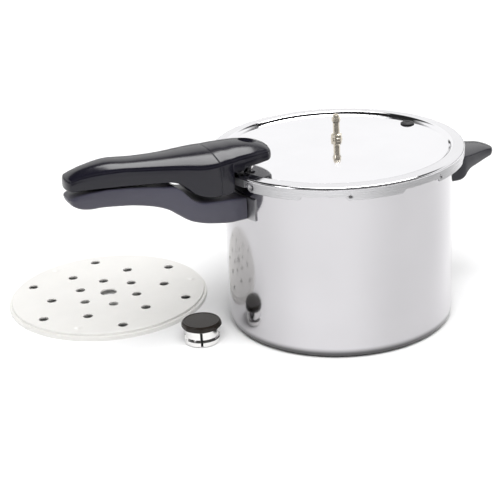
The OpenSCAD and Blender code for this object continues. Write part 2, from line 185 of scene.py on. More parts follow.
def smooth_curve(knots, at):
    """Height of a cubic Hermite curve through (x, y) knots; each slope is the mean of its chords."""
    x, y = np.array(knots, float).T
    chord = np.diff(y) / np.diff(x)
    slope = np.concatenate([chord[:1], 0.5 * (chord[1:] + chord[:-1]), chord[-1:]])
    at = np.clip(at, x[0], x[-1])
    i = np.clip(np.searchsorted(x, at) - 1, 0, len(x) - 2)
    h = x[i + 1] - x[i]
    t = (at - x[i]) / h
    rise = y[i + 1] - y[i]
    return (y[i] + rise * t * t * (3 - 2 * t)
            + h * slope[i] * t * (1 - t) ** 2 - h * slope[i + 1] * t * t * (1 - t))


def ease(t):
    """0 below 0, 1 above 1, and a smooth cubic step between."""
    t = np.clip(t, 0.0, 1.0)
    return t * t * (3 - 2 * t)


def rounded_path(corners, arc_steps=6):
    """Polyline through (x, y, radius, runs) corners.

    Each corner becomes an arc of its radius that touches both legs, with a point just outside
    each end of the arc, and the leg after it is cut into runs equal parts.
    """
    pts = np.array([c[:2] for c in corners], float)
    ends = []
    for i, (x, y, radius, _) in enumerate(corners):
        here = pts[i]
        if radius <= 0 or i in (0, len(corners) - 1):
            ends.append(here[None])
            continue
        back, ahead = pts[i - 1] - here, pts[i + 1] - here
        reach_back, reach_ahead = np.linalg.norm(back), np.linalg.norm(ahead)
        back, ahead = back / reach_back, ahead / reach_ahead
        half_angle = 0.5 * math.acos(float(np.clip(back @ ahead, -1, 1)))
        touch = min(radius / math.tan(half_angle), 0.42 * reach_back, 0.42 * reach_ahead)
        radius = touch * math.tan(half_angle)
        middle = here + (back + ahead) / np.linalg.norm(back + ahead) * radius / math.sin(half_angle)
        start, stop = here + back * touch - middle, here + ahead * touch - middle
        sweep = math.pi - 2 * half_angle
        t = np.linspace(0, 1, arc_steps + 1)[:, None]
        arc = (np.sin((1 - t) * sweep) * start + np.sin(t * sweep) * stop) / math.sin(sweep)
        spare = 0.12 * touch
        ends.append(np.vstack([here + back * (touch + spare), middle + arc,
                               here + ahead * (touch + spare)]))
    path = [ends[0]]
    for i in range(1, len(corners)):
        runs = corners[i - 1][3]
        t = np.linspace(0, 1, runs + 1)[1:-1, None]
        path.append(path[-1][-1] * (1 - t) + ends[i][0] * t)
        path.append(ends[i])
    return np.vstack(path)


def quads(rows, cols, wrap_rows=False, wrap_cols=False):
    """Corner indices of the cells of a rows x cols grid of points."""
    i, j = np.meshgrid(np.arange(rows if wrap_rows else rows - 1),
                       np.arange(cols if wrap_cols else cols - 1), indexing="ij")
    i2, j2 = (i + 1) % rows, (j + 1) % cols
    return np.stack([i * cols + j, i * cols + j2, i2 * cols + j2, i2 * cols + j], -1).reshape(-1, 4)


def turned(radius, height, angles, centre=(0.0, 0.0)):
    """Grid of a section turned about the vertical: x = r cos a, y = r sin a.

    radius and height are one section, or one section for each angle.
    """
    radius, height = np.broadcast_arrays(np.atleast_2d(radius), np.atleast_2d(height))
    a = angles[:, None]
    x, y = radius * np.cos(a), radius * np.sin(a)
    x, y, z = np.broadcast_arrays(x + centre[0], y + centre[1], height)
    return np.stack([x, y, z], -1)


def circle_angles(count):
    """Equal angles round a full turn."""
    return np.linspace(0, 2 * math.pi, count, endpoint=False)


def piece(name, parts, sharp_deg=40.0, merge_mm=0.002):
    """One object from (points in mm, quads) parts: doubles merged, faces turned outwards."""
    points = np.vstack([p.reshape(-1, 3) for p, _ in parts]) * MM
    faces, offset = [], 0
    for p, cells in parts:
        faces.append(cells + offset)
        offset += p.reshape(-1, 3).shape[0]
    mesh = bpy.data.meshes.new(name)
    mesh.from_pydata(points.tolist(), [], np.vstack(faces).tolist())
    shell = bmesh.new()
    shell.from_mesh(mesh)
    bmesh.ops.remove_doubles(shell, verts=shell.verts, dist=merge_mm * MM)
    bmesh.ops.dissolve_degenerate(shell, edges=shell.edges, dist=0.2 * merge_mm * MM)
    bmesh.ops.recalc_face_normals(shell, faces=shell.faces)
    shell.to_mesh(mesh)
    shell.free()
    mesh.shade_smooth()
    mesh.set_sharp_from_angle(angle=math.radians(sharp_deg))
    obj = bpy.data.objects.new(name, mesh)
    bpy.context.scene.collection.objects.link(obj)
    return obj


def cut(obj, cutters, sharp_deg=40.0):
    """Takes the cutters' volume out of a piece and removes them."""
    for cutter in cutters:
        hole = obj.modifiers.new("hole", "BOOLEAN")
        hole.operation = "DIFFERENCE"
        hole.solver = "EXACT"
        hole.object = cutter
    bpy.context.view_layer.update()
    graph = bpy.context.evaluated_depsgraph_get()
    result = bpy.data.meshes.new_from_object(obj.evaluated_get(graph))
    obj.modifiers.clear()
    old = obj.data
    obj.data = result
    bpy.data.meshes.remove(old)
    for cutter in cutters:
        mesh = cutter.data
        bpy.data.objects.remove(cutter)
        bpy.data.meshes.remove(mesh)
    result.name = obj.name
    result.shade_smooth()
    result.set_sharp_from_angle(angle=math.radians(sharp_deg))
    return obj


def turned_piece(name, corners, segments=192, centre=(0.0, 0.0), arc_steps=6, sharp_deg=40.0):
    """A closed section turned about a vertical line at centre."""
    path = rounded_path(corners, arc_steps)
    grid = turned(path[:, 0], path[:, 1], circle_angles(segments), centre)
    cells = quads(grid.shape[0], grid.shape[1], wrap_rows=True)
    return piece(name, [(grid, cells)], sharp_deg)


def settle(obj, body, material, nodes=()):
    """Gives a piece its material, body and slot, and hides the frame nodes it stands for."""
    obj.data.materials.clear()
    obj.data.materials.append(material)
    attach(obj, body)
    if nodes:
        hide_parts(*nodes)
    return obj


# ---------------------------------------------------------------- shader groups

def new_group(name, inputs, outputs):
    """An empty shader group with named float inputs and outputs."""
    group = bpy.data.node_groups.new(name, "ShaderNodeTree")
    for label, default in inputs:
        socket = group.interface.new_socket(label, in_out="INPUT", socket_type="NodeSocketFloat")
        socket.default_value = default
    for label in outputs:
        group.interface.new_socket(label, in_out="OUTPUT", socket_type="NodeSocketFloat")
    enter = group.nodes.new("NodeGroupInput")
    leave = group.nodes.new("NodeGroupOutput")
    return group, enter, leave


def maths(tree, operation, a, b=None):
    """A Math node fed by sockets or numbers; returns its result."""
    node = tree.nodes.new("ShaderNodeMath")
    node.operation = operation
    for socket, value in zip(node.inputs, (a, b)):
        if value is None:
            continue
        if isinstance(value, (int, float)):
            socket.default_value = value
        else:
            tree.links.new(value, socket)
    return node.outputs[0]


def noise(tree, vector, scale, detail=3.0, roughness=0.5):
    """A Noise Texture's value; scale is a socket or a number."""
    node = tree.nodes.new("ShaderNodeTexNoise")
    node.inputs["Detail"].default_value = detail
    node.inputs["Roughness"].default_value = roughness
    tree.links.new(vector, node.inputs["Vector"])
    if isinstance(scale, (int, float)):
        node.inputs["Scale"].default_value = scale
    else:
        tree.links.new(scale, node.inputs["Scale"])
    return node.outputs["Fac"]


def grain_and_painted_fans_group():
    """Fine lines round a vertical axis, as a lathe or a polishing wheel leaves them.

    The pattern runs in (distance from the axis, height), so it circles the axis on a wall as
    well as on a flat. Mask is the fine lines, Cloud a slow change over the surface, and Fan
    painted light and shade: four light and dark fans round the axis, lightest towards Facing,
    standing in for reflections of the surrounding light.
    """
    group, enter, leave = new_group(
        "Turned grain and painted fans", [("Lines", 900.0), ("Centre X", 0.0), ("Centre Y", 0.0), ("Facing", 4.12)],
        ["Mask", "Cloud", "Fan"])
    spot = group.nodes.new("ShaderNodeTexCoord").outputs["Object"]
    split = group.nodes.new("ShaderNodeSeparateXYZ")
    group.links.new(spot, split.inputs[0])
    dx = maths(group, "SUBTRACT", split.outputs[0], enter.outputs["Centre X"])
    dy = maths(group, "SUBTRACT", split.outputs[1], enter.outputs["Centre Y"])
    reach = maths(group, "SQRT", maths(group, "ADD", maths(group, "MULTIPLY", dx, dx),
                                      maths(group, "MULTIPLY", dy, dy)))
    turn = maths(group, "ARCTAN2", dy, dx)
    # Painted reflection: four light and dark fans round the axis, lightest at Facing and every quarter
    # turn from it.
    swing = maths(group, "COSINE", maths(group, "MULTIPLY", maths(
        group, "SUBTRACT", turn, enter.outputs["Facing"]), 4.0))
    group.links.new(maths(group, "ADD", maths(group, "MULTIPLY", swing, 0.5), 0.5),
                    leave.inputs["Fan"])
    join = group.nodes.new("ShaderNodeCombineXYZ")
    group.links.new(maths(group, "MULTIPLY", reach, enter.outputs["Lines"]), join.inputs[0])
    group.links.new(maths(group, "MULTIPLY", turn, 3.0), join.inputs[1])
    group.links.new(maths(group, "MULTIPLY", split.outputs[2], enter.outputs["Lines"]), join.inputs[2])
    group.links.new(noise(group, join.outputs[0], 1.0, 2.0, 0.6), leave.inputs["Mask"])
    group.links.new(noise(group, spot, 14.0, 3.0, 0.5), leave.inputs["Cloud"])
    return group


def moulded_group():
    """Moulded plastic: Mask is a fine pebble, Cloud the slow flow marks, Specks sparse dust."""
    group, enter, leave = new_group("Moulded skin", [("Pebble", 1400.0), ("Flow", 22.0)],
                                    ["Mask", "Cloud", "Specks"])
    spot = group.nodes.new("ShaderNodeTexCoord").outputs["Object"]
    group.links.new(noise(group, spot, enter.outputs["Pebble"], 2.0, 0.5), leave.inputs["Mask"])
    stretch = group.nodes.new("ShaderNodeMapping")
    stretch.inputs["Scale"].default_value = (0.35, 1.0, 1.0)
    group.links.new(spot, stretch.inputs["Vector"])
    group.links.new(noise(group, stretch.outputs[0], enter.outputs["Flow"], 4.0, 0.6),
                    leave.inputs["Cloud"])
    dust = noise(group, spot, 620.0, 1.0, 0.5)
    group.links.new(maths(group, "GREATER_THAN", dust, 0.735), leave.inputs["Specks"])
    return group


def rolled_group():
    """Rolled sheet: Mask is fine streaks along X, Cloud a slow unevenness."""
    group, enter, leave = new_group("Rolled sheet", [("Streaks", 500.0)], ["Mask", "Cloud"])
    spot = group.nodes.new("ShaderNodeTexCoord").outputs["Object"]
    stretch = group.nodes.new("ShaderNodeMapping")
    stretch.inputs["Scale"].default_value = (0.06, 1.0, 1.0)
    group.links.new(spot, stretch.inputs["Vector"])
    group.links.new(noise(group, stretch.outputs[0], enter.outputs["Streaks"], 3.0, 0.6),
                    leave.inputs["Mask"])
    group.links.new(noise(group, spot, 30.0, 3.0, 0.5), leave.inputs["Cloud"])
    return group


GROUPS = {}


def group_named(name):
    """A shared shader group, built the first time it is asked for."""
    makers = {"turned": grain_and_painted_fans_group, "moulded": moulded_group, "rolled": rolled_group}
    if name not in GROUPS:
        GROUPS[name] = makers[name]()
    return GROUPS[name]


def map_range(tree, value, low, high, out_low, out_high):
    """A value carried smoothly from one range to another."""
    node = tree.nodes.new("ShaderNodeMapRange")
    node.interpolation_type = "SMOOTHSTEP"
    for label, number in (("From Min", low), ("From Max", high), ("To Min", out_low),
                          ("To Max", out_high)):
        node.inputs[label].default_value = number
    tree.links.new(value, node.inputs["Value"])
    return node.outputs["Result"]


def scaled(tree, shade, factor):
    """A colour times a value."""
    node = tree.nodes.new("ShaderNodeVectorMath")
    node.operation = "SCALE"
    tree.links.new(shade, node.inputs[0])
    tree.links.new(factor, node.inputs["Scale"])
    return node.outputs["Vector"]


def finish_material(name, group, values, shades, rough, bump, metallic=0.0, sockets=None,
                    bump_mm=0.02, colour_by="Cloud", rough_by="Mask", bump_by="Mask",
                    fan=None, painted_shade_foot=None):
    """A Principled material driven by one of the shared groups.

    shades are the colours at the low and high end of the group's colour output, rough the
    roughness at the low and high end, and bump the strength of its relief. fan gives the
    brightness in the dark and light fans, which are painted reflections. painted_shade_foot gives the
    heights in mm between which a darker foot ends and its brightness; that foot is painted
    shade for the contact shadow that the base reflects.
    """
    material = bpy.data.materials.new(name)
    material.use_nodes = True
    tree = material.node_tree
    shader = tree.nodes["Principled BSDF"]
    pattern = tree.nodes.new("ShaderNodeGroup")
    pattern.node_tree = group_named(group)
    for label, value in values.items():
        pattern.inputs[label].default_value = value
    ramp = tree.nodes.new("ShaderNodeValToRGB")
    ramp.color_ramp.elements[0].position = 0.3
    ramp.color_ramp.elements[1].position = 0.7
    ramp.color_ramp.elements[0].color = (*shades[0], 1.0)
    ramp.color_ramp.elements[1].color = (*shades[1], 1.0)
    tree.links.new(pattern.outputs[colour_by], ramp.inputs["Fac"])
    shade = ramp.outputs["Color"]
    # Painted light and shade: fans of reflection round the axis, and a darker foot for the contact shadow
    # the base reflects.
    if fan:
        shade = scaled(tree, shade, map_range(tree, pattern.outputs["Fan"], 0.0, 1.0, *fan))
    if painted_shade_foot:
        spot = tree.nodes.new("ShaderNodeTexCoord").outputs["Object"]
        split = tree.nodes.new("ShaderNodeSeparateXYZ")
        tree.links.new(spot, split.inputs[0])
        low, high, factor = painted_shade_foot
        shade = scaled(tree, shade, map_range(tree, split.outputs[2], low * MM, high * MM, factor, 1.0))
    tree.links.new(shade, shader.inputs["Base Color"])
    polish = tree.nodes.new("ShaderNodeMapRange")
    polish.inputs["From Min"].default_value = 0.3
    polish.inputs["From Max"].default_value = 0.7
    polish.inputs["To Min"].default_value = rough[0]
    polish.inputs["To Max"].default_value = rough[1]
    tree.links.new(pattern.outputs[rough_by], polish.inputs["Value"])
    tree.links.new(polish.outputs["Result"], shader.inputs["Roughness"])
    if bump > 0:
        relief = tree.nodes.new("ShaderNodeBump")
        relief.inputs["Strength"].default_value = bump
        relief.inputs["Distance"].default_value = bump_mm * MM
        tree.links.new(pattern.outputs[bump_by], relief.inputs["Height"])
        tree.links.new(relief.outputs["Normal"], shader.inputs["Normal"])
    shader.inputs["Metallic"].default_value = metallic
    for label, value in (sockets or {}).items():
        shader.inputs[label].default_value = value
    return material


def tint(rgb, factor):
    """A colour made darker or lighter."""
    return tuple(min(1.0, c * factor) for c in rgb)


MATERIALS = {}


def build_materials():
    """Every finish of the canner, by a maker's name."""
    scene = bpy.context.scene
    pot, lid = tuple(scene.canner_pot.metal), tuple(scene.canner_lid.metal)
    phenolic, cap = tuple(scene.canner_handles.phenolic), tuple(scene.canner_loose.cap)
    rack = tuple(scene.canner_loose.rack)
    # Painted light: the lower handle's phenolic made lighter, as if lit from below.
    painted_underlight = (0.044, 0.042, 0.062)
    steel, chrome, rubber = (0.36, 0.36, 0.37), (0.86, 0.85, 0.84), (0.012, 0.012, 0.013)
    MATERIALS.update({
        # The pot's fans are painted reflections, and its darker foot is painted shade from the reflected
        # contact shadow.
        "pot": finish_material("polished wall", "turned", {"Lines": 1500.0},
                               (tint(pot, 0.97), tint(pot, 1.02)), (0.09, 0.15), 0.10, 1.0,
                               fan=(0.86, 1.04), painted_shade_foot=(4.5, 11.0, 0.17)),
        "lid": finish_material("polished lid", "turned", {"Lines": 1800.0},
                               (tint(lid, 0.98), tint(lid, 1.02)), (0.05, 0.09), 0.05, 1.0),
        "ring": finish_material("polished ring", "turned", {"Lines": 1800.0},
                                (tint(lid, 0.88), tint(lid, 0.93)), (0.08, 0.13), 0.08, 1.0),
        # The skirt's light and dark fans are painted reflections.
        "skirt": finish_material("brushed skirt", "turned", {"Lines": 2600.0},
                                 (tint(lid, 0.50), tint(lid, 0.68)), (0.20, 0.32), 0.30, 1.0,
                                 colour_by="Mask", fan=(0.66, 1.12)),
        "phenolic": finish_material("black phenolic", "moulded", {"Pebble": 1500.0, "Flow": 24.0},
                                    (tint(phenolic, 0.88), tint(phenolic, 1.12)), (0.15, 0.24), 0.10,
                                    sockets={"Specular IOR Level": 0.42}, bump_mm=0.03),
        # A lighter, rougher copy of the black phenolic for the lower handle; the lighter colour is
        # painted light from below.
        "painted_underlight": finish_material("satin phenolic", "moulded", {"Pebble": 1500.0, "Flow": 24.0},
                                 (tint(painted_underlight, 0.82), tint(painted_underlight, 1.18)), (0.30, 0.42), 0.16,
                                 sockets={"Specular IOR Level": 0.6}, bump_mm=0.03),
        "cap": finish_material("brown phenolic", "moulded", {"Pebble": 1800.0, "Flow": 60.0},
                               (tint(cap, 0.5), tint(cap, 0.75)), (0.28, 0.40), 0.25,
                               sockets={"Specular IOR Level": 0.28}, bump_mm=0.03),
        "steel": finish_material("stamped steel", "rolled", {"Streaks": 900.0},
                                 (tint(steel, 0.85), tint(steel, 1.1)), (0.28, 0.42), 0.2, 1.0),
        "brass": finish_material("warm plating", "turned", {"Lines": 2200.0},
                                 ((0.80, 0.73, 0.60), (0.92, 0.86, 0.74)), (0.12, 0.20), 0.05, 0.75),
        "chrome": finish_material("bright plating", "turned", {"Lines": 2200.0},
                                  (tint(chrome, 0.96), tint(chrome, 1.0)), (0.05, 0.10), 0.05, 1.0),
        "rubber": finish_material("black rubber", "moulded", {"Pebble": 1100.0, "Flow": 40.0},
                                  (rubber, tint(rubber, 1.8)), (0.5, 0.65), 0.3, bump_mm=0.04),
        "rack": finish_material("matte rack sheet", "rolled", {"Streaks": 700.0},
                                (tint(rack, 0.975), tint(rack, 1.01)), (0.42, 0.52), 0.10, 0.25,
                                bump_mm=0.02),
    })


# ---------------------------------------------------------------- pot and lid

LUG_COUNT = 8
LUG_PITCH = 360.0 / LUG_COUNT
LUG_FIRST = 33.75
POT_LUG_DEG = 18.0
LID_LUG_DEG = 25.6


def lug_window(degrees, width, soft):
    """1 over each lug and 0 between, with an eased edge soft degrees wide."""
    off = np.abs((degrees - LUG_FIRST + LUG_PITCH / 2) % LUG_PITCH - LUG_PITCH / 2)
    return 1 - ease((off - width / 2 + soft / 2) / soft)


def lug_angles(width, margin):
    """Angles round the rim in degrees: every 1.5 degrees, and close together at each lug's ends."""
    near = np.linspace(-margin, margin, 17)
    ends = LUG_FIRST + LUG_PITCH * np.arange(LUG_COUNT)[:, None] + width / 2 * np.array([-1, 1])
    close = (ends[..., None] + near).ravel() % 360
    return np.unique(np.round(np.concatenate([np.arange(0, 360, 1.5), close]), 4))


def make_pot():
    """Pot: one closed section turned about Z; r grows by the lug length over each lug."""
    sizes = bpy.context.scene.canner_pot
    lug_r, rim_z = POT_HIGH[1], POT_HIGH[2]
    rim_r = lug_r - sizes.lug_out / MM
    wall_r = rim_r - sizes.rim_out / MM
    inside_r = wall_r - sizes.wall / MM
    flange_z = rim_z - 2.9
    base, corner = sizes.base / MM, sizes.corner / MM
    path = rounded_path([
        (0, 0.35, 0, 6), (wall_r - corner - 4, 0.35, 0.5, 1), (wall_r - corner - 3, 0, 0.5, 1),
        (wall_r, 0, corner, 24), (wall_r, flange_z, 0.8, 1), (rim_r, flange_z, 0.8, 1),
        (rim_r, rim_z, 0.9, 1), (inside_r, rim_z, 0.9, 24), (inside_r, base, corner, 6),
        (0, base, 0, 1)], 9)
    degrees = lug_angles(POT_LUG_DEG, 1.6)
    reach = sizes.lug_out / MM * lug_window(degrees, POT_LUG_DEG, 1.4)[:, None]
    moved = np.clip((path[:, 0] - rim_r + 1.3) / 0.5, 0, 1)
    grid = turned(path[:, 0] + reach * moved, path[:, 1], np.radians(degrees))
    obj = piece("pot_surface", [(grid, quads(*grid.shape[:2], wrap_rows=True))], 50)
    settle(obj, "pot", MATERIALS["pot"], ["pot_body"])


def make_lid():
    """Lid: a section turned about Z that changes between two shapes of the skirt's foot.

    Over a lug the skirt ends low and turns in, between the lugs it ends higher and straight.
    A dimple pushes the skirt in at the start of each lug: depth times exp(-(distance/size)^2).
    """
    sizes = bpy.context.scene.canner_lid
    edge_r, crest_z, low_z = LID_HIGH[1], LID_HIGH[2], LID_LOW[2]
    edge_z = crest_z - 0.9
    sheet, drop, step = sizes.sheet / MM, sizes.drop / MM, sizes.step / MM
    crest_r = edge_r - sizes.ring / MM
    panel_r, panel_z = crest_r - 0.85 * drop, crest_z - drop
    skirt_ri = edge_r - sheet
    lug_ri = POT_HIGH[1] - 5.0 + 1.0
    lug_top = low_z + sizes.lug / MM
    high_z = low_z + step

    def section(foot):
        """The whole section round a given foot of the skirt."""
        return rounded_path(
            [(0, panel_z, 0, 8), (panel_r, panel_z, 1.2, 1), (crest_r + 0.2, crest_z, 4.0, 3),
             (edge_r, edge_z, 2.3, 14)] + foot +
            [(skirt_ri, edge_z - sheet, 1.0, 2), (crest_r, crest_z - sheet, 1.5, 1),
             (panel_r, panel_z - sheet, 1.5, 6), (0, panel_z - sheet, 0, 1)], 7)

    deep = section([(edge_r, low_z, 1.1, 2), (lug_ri, low_z, 0.5, 2), (lug_ri, lug_top, 0.5, 2),
                    (skirt_ri, lug_top, 0.5, 4)])
    shallow = section([(edge_r, high_z, 0.8, 2), (skirt_ri, high_z, 0.4, 2),
                       (skirt_ri, high_z + 0.5, 0.1, 2), (skirt_ri, high_z + 1.0, 0.1, 4)])
    degrees = lug_angles(LID_LUG_DEG, 3.0)
    amount = lug_window(degrees, LID_LUG_DEG, 2.2)[:, None]
    radius = shallow[:, 0] * (1 - amount) + deep[:, 0] * amount
    height = shallow[:, 1] * (1 - amount) + deep[:, 1] * amount
    off = (degrees - LUG_FIRST + LID_LUG_DEG / 2 - 1.6 + LUG_PITCH / 2) % LUG_PITCH - LUG_PITCH / 2
    aside = np.radians(off)[:, None] * edge_r
    dimple = 1.3 * np.exp(-(aside / 1.7) ** 2 - ((height - low_z - 5.0) / 1.7) ** 2)
    radius = radius - dimple * (radius > edge_r - 0.01)
    grid = turned(radius, height, np.radians(degrees))
    obj = piece("lid_surface", [(grid, quads(*grid.shape[:2], wrap_rows=True))], 50)
    settle(obj, "lid", MATERIALS["lid"], ["lid_shell"])
    obj.data.materials.append(MATERIALS["skirt"])
    obj.data.materials.append(MATERIALS["ring"])
    centres = np.empty(len(obj.data.polygons) * 3)
    obj.data.polygons.foreach_get("center", centres)
    centres = centres.reshape(-1, 3) / MM
    reach = np.hypot(centres[:, 0], centres[:, 1])
    on_skirt = (reach > edge_r - 1.2) & (centres[:, 2] < edge_z - 1.9)
    on_ring = (reach > crest_r + 1.5) & (centres[:, 2] > edge_z - 1.9)
    kinds = np.where(on_skirt, 1, np.where(on_ring, 2, 0))
    obj.data.polygons.foreach_set("material_index", kinds.astype(np.int32))


# ---------------------------------------------------------------- handles

def moulded_bar(name, sign, top, bottom, half, ends, crown, edge, foot, close_to=(), arc_start=None,
                step=None, seam=None, belly=0.0, rows=37, walls=7):
    """A closed moulding along X whose outline, top and bottom are curves of the distance s.

    Columns lie on arcs about Z through the outline's points (s, half width W), so a point of
    a column has x = sqrt(s^2 + W^2 - w^2), with w = W sin(90 deg * t) for t from -1 to 1.
    The top is its edge curve plus a crown (1 - |w/W|^2.4) W/22 that fades out at the ends, and
    both faces are drawn in by quarter circles of the distance d from the outline, where d is
    (W^2 - w^2) over 2 sqrt((W W')^2 + w^2). The walls join the faces and swell at half height.
    """
    start, start_round, stop, stop_round = ends
    turn = np.sin(np.linspace(0, math.pi / 2, 12))
    s = [np.arange(start, stop, 2.0), stop - stop_round * (1 - turn), [stop]]
    s += [[start]] if start_round == 0 else [start + start_round * (1 - turn)]
    s += [c + np.linspace(-1.2, 1.2, 15) for c in close_to]
    s = np.unique(np.round(np.concatenate(s), 3))
    s = s[(s >= start) & (s <= stop)]

    full = smooth_curve(half, s)
    w_out = full
    tip = np.clip((s - stop + stop_round) / stop_round, 0, 1)
    w_out = w_out * np.sqrt(1 - tip ** 2)
    if start_round:
        nose = np.clip((start + start_round - s) / start_round, 0, 1)
        w_out = w_out * np.sqrt(1 - nose ** 2)
    if seam:
        groove = seam[1] * np.exp(-((s - seam[0]) / 0.35) ** 2)
        w_out = w_out - groove
    slope = 0.5 * np.gradient(w_out ** 2, s)

    t = np.sin(np.linspace(-math.pi / 2, math.pi / 2, rows))
    w = w_out[:, None] * t
    reach = np.hypot(s, w_out)[:, None]
    x = np.sqrt(reach ** 2 - w ** 2)
    d = (w_out[:, None] ** 2 - w ** 2) / (2 * np.sqrt(slope[:, None] ** 2 + w ** 2) + 1e-9)

    def drawn_in(radius):
        """Depth of a quarter circle at distance d from its edge."""
        near = np.clip(radius - d, 0, radius)
        return radius - np.sqrt(radius ** 2 - near ** 2)

    fade = np.clip(np.minimum((s - start) / 22.0 if start_round else 1.0, (stop - s) / 22.0), 0, 1)
    dome = (1 - np.abs(t) ** 2.4) * (np.sqrt(1 - (1 - fade) ** 2) * full / 22.0)[:, None]
    upper = smooth_curve(top, s)[:, None] + crown * dome - drawn_in(edge)
    if seam:
        upper = upper - groove[:, None]
    lower = smooth_curve(bottom, s)[:, None] + 0 * w
    if step:
        lower = step(reach, lower)
    lower = lower - belly * dome + drawn_in(foot)

    level = np.linspace(0, 1, walls)[1:-1]
    swell = 0.5 * np.sin(math.pi * level)

    def wall(column, side):
        """Points between the two faces at one side, from the top down."""
        z = upper[:, column, None] * (1 - level) + lower[:, column, None] * level
        out = w[:, column, None] + side * swell * np.minimum(1, w_out[:, None] / 4)
        return np.stack(np.broadcast_arrays(x[:, column, None], out, z), -1)

    face_up = np.stack([x, w, upper], -1)
    face_down = np.stack([x, w, lower], -1)
    loop = np.concatenate([face_up, wall(-1, 1), face_down[:, ::-1], wall(0, -1)[:, ::-1]], 1)
    parts = [(loop, quads(*loop.shape[:2], wrap_cols=True))]
    if not start_round:
        rise = np.linspace(0, 1, walls)[None, :]
        z = upper[0][:, None] * (1 - rise) + lower[0][:, None] * rise
        out = w[0][:, None] + t[:, None] * 0.5 * np.sin(math.pi * rise)
        end = np.stack(np.broadcast_arrays(x[0][:, None], out, z), -1)
        parts.append((end, quads(*end.shape[:2])))
    for grid, _ in parts:
        grid[..., 0] *= sign
    return piece(name, parts, 42)


def hole_cutter(x, y, corners):
    """A turned cutter at a place."""
    return turned_piece("cutter", corners, 64, (x, y), 4)


SCREW_X = 136.0
LOWER_HALF = ((112, 28), (122, 29.6), (130, 30.6), (138, 32), (147, 32), (155, 30.3), (163, 27.6),
              (172, 24.9), (185, 22.1), (200, 20), (215, 18.9), (230, 18.8), (240, 16.9), (250, 14.6),
              (260, 12.9), (271, 11.6))
UPPER_HALF = ((65, 19.2), (80, 20.4), (88, 22.2), (96, 24.6), (105, 26.6), (115, 28.1)) + LOWER_HALF[1:]
UPPER_TOP = ((65, 183.6), (72, 185.8), (80, 187.2), (92, 187.9), (105, 188.1), (120, 187.6),
             (135, 186.8), (150, 186.9), (165, 188.4), (185, 190.5), (205, 192.7), (225, 195.2),
             (240, 195.3), (252, 194.3), (262, 192.8), (271, 190.4))
UPPER_BOTTOM = ((121, 156.7), (133, 156.8), (143, 157.6), (151, 159.6), (158, 163.0), (164, 168.4),
                (170, 173.2), (176, 175.6), (190, 176.9), (210, 178.5), (228, 180.2), (245, 180.7),
                (271, 181.2))
LOWER_TOP = ((112, 149.6), (130, 151.5), (145, 153.1), (152, 153.4), (158, 155.6), (163, 159.6),
             (168, 165.6), (173, 170.0), (185, 172.0), (205, 175.2), (222, 177.6), (235, 178.8),
             (248, 177.7), (260, 176.4), (271, 173.8))
LOWER_BOTTOM = ((112, 128.2), (125, 128.9), (140, 131.9), (155, 135.0), (163, 137.6), (172, 143.8),
                (180, 149.6), (190, 154.1), (205, 158.2), (225, 161.8), (240, 163.0), (252, 162.5),
                (261, 164.1), (267, 167.6), (271, 171.6))
HELPER_HALF = ((112, 30), (126, 30.2), (132, 28), (140, 24.7), (150, 20.4), (160, 16.6), (170, 13.6),
               (174, 12.6))
HELPER_TOP = ((112, 147.4), (126, 145.6), (140, 144.4), (155, 143.4), (165, 142.7), (174, 141.0))
HELPER_BOTTOM = ((112, 122.0), (122, 122.3), (127, 124.4), (131, 128.0), (136, 130.4), (145, 131.4),
                 (157, 133.0), (166, 134.4), (174, 136.2))


def make_upper_handle():
    """Upper handle: grip, block in front of the skirt, and the nose that lies over the lid."""
    sizes = bpy.context.scene.canner_handles
    block_r = LID_HIGH[1] + 1.9
    shoulder_r = 111.0
    over_ring, over_panel = 175.1, 177.6

    def underside(reach, lower):
        """The nose clears ring and panel; the block starts at the skirt."""
        nose = over_ring + (over_panel - over_ring) * ease((shoulder_r + 0.6 - reach) / 1.2)
        nose = nose + 1.6 * ease((92.0 - reach) / 26.0)
        share_of_block = ease((reach - block_r) / 0.4)
        return nose + (lower - nose) * share_of_block

    near_block = math.sqrt(block_r ** 2 - 29.5 ** 2)
    near_shoulder = math.sqrt(shoulder_r ** 2 - 27.5 ** 2)
    obj = moulded_bar(
        "upper_handle_moulding", -1, UPPER_TOP, UPPER_BOTTOM, UPPER_HALF, (73.0, 9, 270.8, 4),
        sizes.crown / MM, sizes.brow / MM, sizes.foot / MM, (near_block, near_shoulder, 133.0),
        step=underside, seam=(133.0, sizes.seam / MM), rows=41)
    lock_x = 0.5 * (LOCK_LOW[0] + LOCK_HIGH[0])
    cut(obj, [
        hole_cutter(lock_x, 0, [(0, 165, 0, 1), (6.5, 165, 0, 1), (6.5, 191.0, 0.6, 1),
                                (8.4, 193.2, 0, 1), (8.4, 204, 0, 1), (0, 204, 0, 1)]),
        hole_cutter(-SCREW_X, 0, [(0, 150, 0, 1), (4.9, 150, 0, 1), (4.9, 162.1, 0, 1),
                                  (0, 162.1, 0, 1)])])
    settle(obj, "lid", MATERIALS["phenolic"], ["upper_handle"])


def make_lower_handle():
    """Lower handle: flat face under the upper grip, rounded palm side, block at the pot wall."""
    sizes = bpy.context.scene.canner_handles
    obj = moulded_bar(
        "lower_handle_moulding", -1, LOWER_TOP, LOWER_BOTTOM, LOWER_HALF, (108.7, 0, 270.8, 4),
        0.3, sizes.edge / MM, 3.2, belly=1.0)
    cut(obj, [hole_cutter(-SCREW_X, 0, [(0, 120, 0, 1), (4.9, 120, 0, 1), (4.9, 134.5, 0, 1),
                                        (0, 134.5, 0, 1)])])
    # The lower handle uses the lighter copy of the phenolic: painted light from below.
    settle(obj, "pot", MATERIALS["painted_underlight"], ["lower_handle"])


